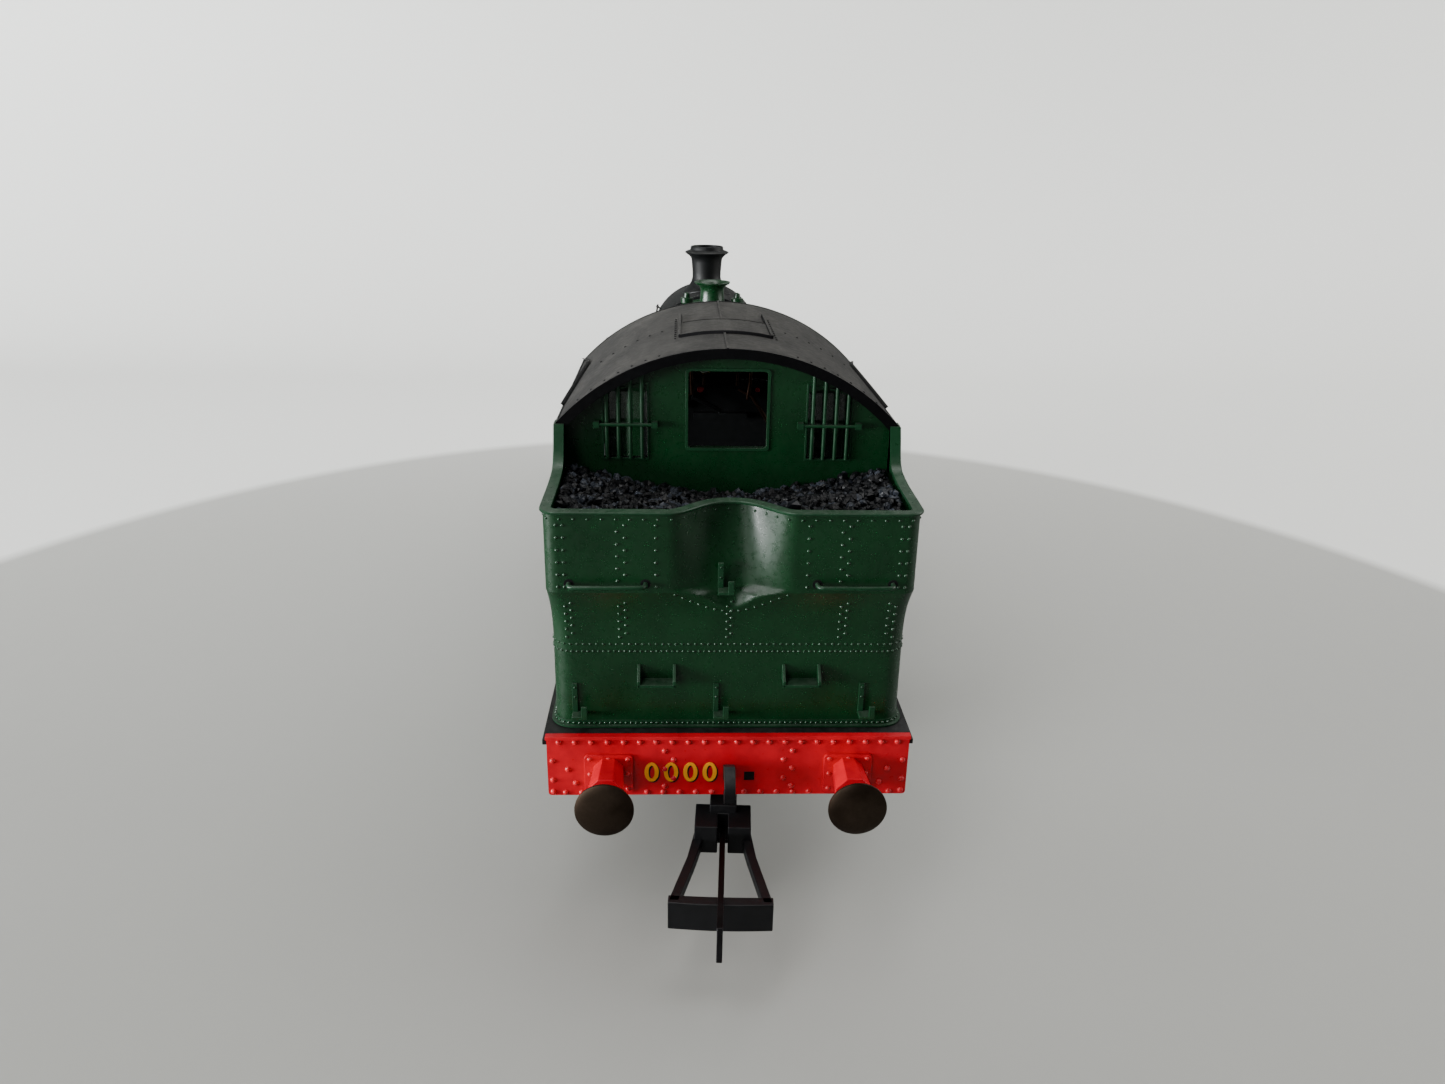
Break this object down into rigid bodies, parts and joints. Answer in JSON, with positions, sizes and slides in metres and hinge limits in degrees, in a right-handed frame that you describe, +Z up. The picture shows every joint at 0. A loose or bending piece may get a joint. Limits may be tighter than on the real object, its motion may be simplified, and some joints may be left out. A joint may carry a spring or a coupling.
{
  "type": "model steam locomotive",
  "caption": "Small-scale side tank steam engine with a coal bunker, arched cab roof, spoked coupled wheels, side rods, sprung buffers and narrow swinging couplings.",
  "frame": {"origin": "centre of the bounding box in plan, at the bottom of the wheel flanges, 0.9 mm below the top of the rail", "axes": "+X forward, from the bunker to the chimney; +Y to the engine's left; +Z up"},
  "size_m": [0.183, 0.0354, 0.0523],
  "materials": {
    "green_paint": "satin Brunswick-type green paint on a plastic moulding",
    "wheel_paint": "satin green paint with bare tyre treads",
    "black_paint": "matt black paint",
    "roof_paint": "matt dark grey black paint",
    "red_paint": "satin red paint",
    "coal": "black broken coal",
    "steel": "bright turned or stamped steel",
    "blackened_steel": "blackened steel with worn brown edges",
    "brass": "bare machined brass",
    "cast_metal": "die-cast zinc alloy, unpainted",
    "black_plastic": "self-coloured black plastic",
    "circuit_board": "green lacquered board"
  },
  "bodies": {
    "engine": {"chassis_block": "cast_metal", "keeper_plate": "black_plastic", "running_plate": "black_paint", "buffer_beam_rear": "red_paint", "buffer_beam_front": "red_paint", "bunker": "green_paint", "cab_shell": "green_paint", "window_grille_left": "green_paint", "window_grille_right": "green_paint", "cab_roof": "roof_paint", "side_tank_left": "green_paint", "side_tank_right": "green_paint", "boiler": "green_paint", "smokebox": "black_paint", "smokebox_door": "black_paint", "chimney": "black_paint", "safety_valve_bonnet": "green_paint", "coal_load": "coal", "backhead": "black_paint", "cylinder_block": "green_paint", "slide_bars_left": "steel", "slide_bars_right": "steel", "motor_can": "steel", "circuit_board": "circuit_board", "draw_hook_rear": "black_paint", "draw_hook_front": "black_paint", "buffer_spring_rear_left": "steel", "buffer_spring_rear_right": "steel", "buffer_spring_front_left": "steel", "buffer_spring_front_right": "steel"},
    "wheelset_1": {"axle_1": "steel", "wheel_1_left": "wheel_paint", "wheel_1_right": "wheel_paint"},
    "wheelset_2": {"axle_2": "steel", "wheel_2_left": "wheel_paint", "wheel_2_right": "wheel_paint"},
    "wheelset_3": {"axle_3": "steel", "wheel_3_left": "wheel_paint", "wheel_3_right": "wheel_paint", "axle_gear": "brass"},
    "wheelset_4": {"axle_4": "steel", "wheel_4_left": "wheel_paint", "wheel_4_right": "wheel_paint"},
    "worm": {"worm_shaft": "brass"},
    "coupling_rod_left": {"coupling_rod_left": "steel"},
    "connecting_rod_left": {"connecting_rod_left": "steel"},
    "crosshead_left": {"crosshead_left": "steel"},
    "coupling_rod_right": {"coupling_rod_right": "steel"},
    "connecting_rod_right": {"connecting_rod_right": "steel"},
    "crosshead_right": {"crosshead_right": "steel"},
    "pony_truck": {"pony_truck": "black_plastic"},
    "pony_wheelset": {"pony_wheelset": "wheel_paint"},
    "buffer_rear_left": {"buffer_rear_left": "blackened_steel"},
    "buffer_rear_right": {"buffer_rear_right": "blackened_steel"},
    "coupling_rear": {"coupling_rear": "black_plastic"},
    "coupling_hook_rear": {"coupling_hook_rear": "blackened_steel"},
    "buffer_front_left": {"buffer_front_left": "blackened_steel"},
    "buffer_front_right": {"buffer_front_right": "blackened_steel"},
    "coupling_front": {"coupling_front": "black_plastic"},
    "coupling_hook_front": {"coupling_hook_front": "blackened_steel"}
  },
  "joints": [
    {"name": "wheelset_3_spin", "type": "hinge", "parent": "engine", "child": "wheelset_3", "pos_m": [-0.01683, 0, 0.01015], "axis": [0, 1, 0], "continuous": true},
    {"name": "wheelset_1_spin", "type": "hinge", "parent": "engine", "child": "wheelset_1", "pos_m": [0.0265, 0, 0.01015], "axis": [0, 1, 0], "continuous": true},
    {"name": "wheelset_2_spin", "type": "hinge", "parent": "engine", "child": "wheelset_2", "pos_m": [0.00483, 0, 0.01015], "axis": [0, 1, 0], "continuous": true},
    {"name": "wheelset_4_spin", "type": "hinge", "parent": "engine", "child": "wheelset_4", "pos_m": [-0.04083, 0, 0.01015], "axis": [0, 1, 0], "continuous": true},
    {"name": "worm_spin", "type": "hinge", "parent": "engine", "child": "worm", "pos_m": [-0.01683, 0, 0.01815], "axis": [1, 0, 0], "continuous": true},
    {"name": "coupling_rod_left_pin", "type": "hinge", "parent": "wheelset_3", "child": "coupling_rod_left", "pos_m": [-0.02037, 0.0108, 0.00661], "axis": [0, 1, 0], "continuous": true},
    {"name": "connecting_rod_left_pin", "type": "hinge", "parent": "wheelset_3", "child": "connecting_rod_left", "pos_m": [-0.02037, 0.01183, 0.00661], "axis": [0, 1, 0], "continuous": true},
    {"name": "crosshead_left_slide", "type": "slide", "parent": "engine", "child": "crosshead_left", "axis": [1, 0, 0], "range_m": [-0.00126, 0.00874]},
    {"name": "coupling_rod_right_pin", "type": "hinge", "parent": "wheelset_3", "child": "coupling_rod_right", "pos_m": [-0.02037, -0.0108, 0.01369], "axis": [0, 1, 0], "continuous": true},
    {"name": "connecting_rod_right_pin", "type": "hinge", "parent": "wheelset_3", "child": "connecting_rod_right", "pos_m": [-0.02037, -0.01183, 0.01369], "axis": [0, 1, 0], "continuous": true},
    {"name": "crosshead_right_slide", "type": "slide", "parent": "engine", "child": "crosshead_right", "axis": [1, 0, 0], "range_m": [-0.00138, 0.00862]},
    {"name": "pony_swing", "type": "hinge", "parent": "engine", "child": "pony_truck", "pos_m": [0.0345, 0, 0.0149], "axis": [0, 0, 1], "range_deg": [-5, 5]},
    {"name": "pony_wheelset_spin", "type": "hinge", "parent": "pony_truck", "child": "pony_wheelset", "pos_m": [0.0615, 0, 0.00725], "axis": [0, 1, 0], "continuous": true},
    {"name": "buffer_rear_left_slide", "type": "slide", "parent": "engine", "child": "buffer_rear_left", "axis": [1, 0, 0], "range_m": [0, 0.0015], "stiffness_N_per_m": 200, "deforming": ["buffer_spring_rear_left"]},
    {"name": "buffer_rear_right_slide", "type": "slide", "parent": "engine", "child": "buffer_rear_right", "axis": [1, 0, 0], "range_m": [0, 0.0015], "stiffness_N_per_m": 200, "deforming": ["buffer_spring_rear_right"]},
    {"name": "coupling_rear_swing", "type": "hinge", "parent": "engine", "child": "coupling_rear", "pos_m": [-0.0665, 0, 0.0109], "axis": [0, 0, 1], "range_deg": [-3, 9]},
    {"name": "coupling_hook_rear_lift", "type": "hinge", "parent": "coupling_rear", "child": "coupling_hook_rear", "pos_m": [-0.07639, 0.00052, 0.00785], "axis": [0.0523, 0.9986, 0], "range_deg": [0, 18]},
    {"name": "buffer_front_left_slide", "type": "slide", "parent": "engine", "child": "buffer_front_left", "axis": [-1, 0, 0], "range_m": [0, 0.0015], "stiffness_N_per_m": 200, "deforming": ["buffer_spring_front_left"]},
    {"name": "buffer_front_right_slide", "type": "slide", "parent": "engine", "child": "buffer_front_right", "axis": [-1, 0, 0], "range_m": [0, 0.0015], "stiffness_N_per_m": 200, "deforming": ["buffer_spring_front_right"]},
    {"name": "coupling_front_swing", "type": "hinge", "parent": "engine", "child": "coupling_front", "pos_m": [0.0665, 0, 0.0109], "axis": [0, 0, 1], "range_deg": [-6, 6]},
    {"name": "coupling_hook_front_lift", "type": "hinge", "parent": "coupling_front", "child": "coupling_hook_front", "pos_m": [0.0764, 0, 0.00785], "axis": [0, -1, 0], "range_deg": [0, 18]}
  ],
  "couplings": [
    {"joint": "wheelset_1_spin", "follows": "wheelset_3_spin", "ratio": 1},
    {"joint": "wheelset_2_spin", "follows": "wheelset_3_spin", "ratio": 1},
    {"joint": "wheelset_4_spin", "follows": "wheelset_3_spin", "ratio": 1},
    {"joint": "worm_spin", "follows": "wheelset_3_spin", "ratio": 30},
    {"joint": "coupling_rod_left_pin", "follows": "wheelset_3_spin", "ratio": -1},
    {"joint": "connecting_rod_left_pin", "follows": "wheelset_3_spin", "ratio": -1},
    {"joint": "coupling_rod_right_pin", "follows": "wheelset_3_spin", "ratio": -1},
    {"joint": "connecting_rod_right_pin", "follows": "wheelset_3_spin", "ratio": -1}
  ]
}
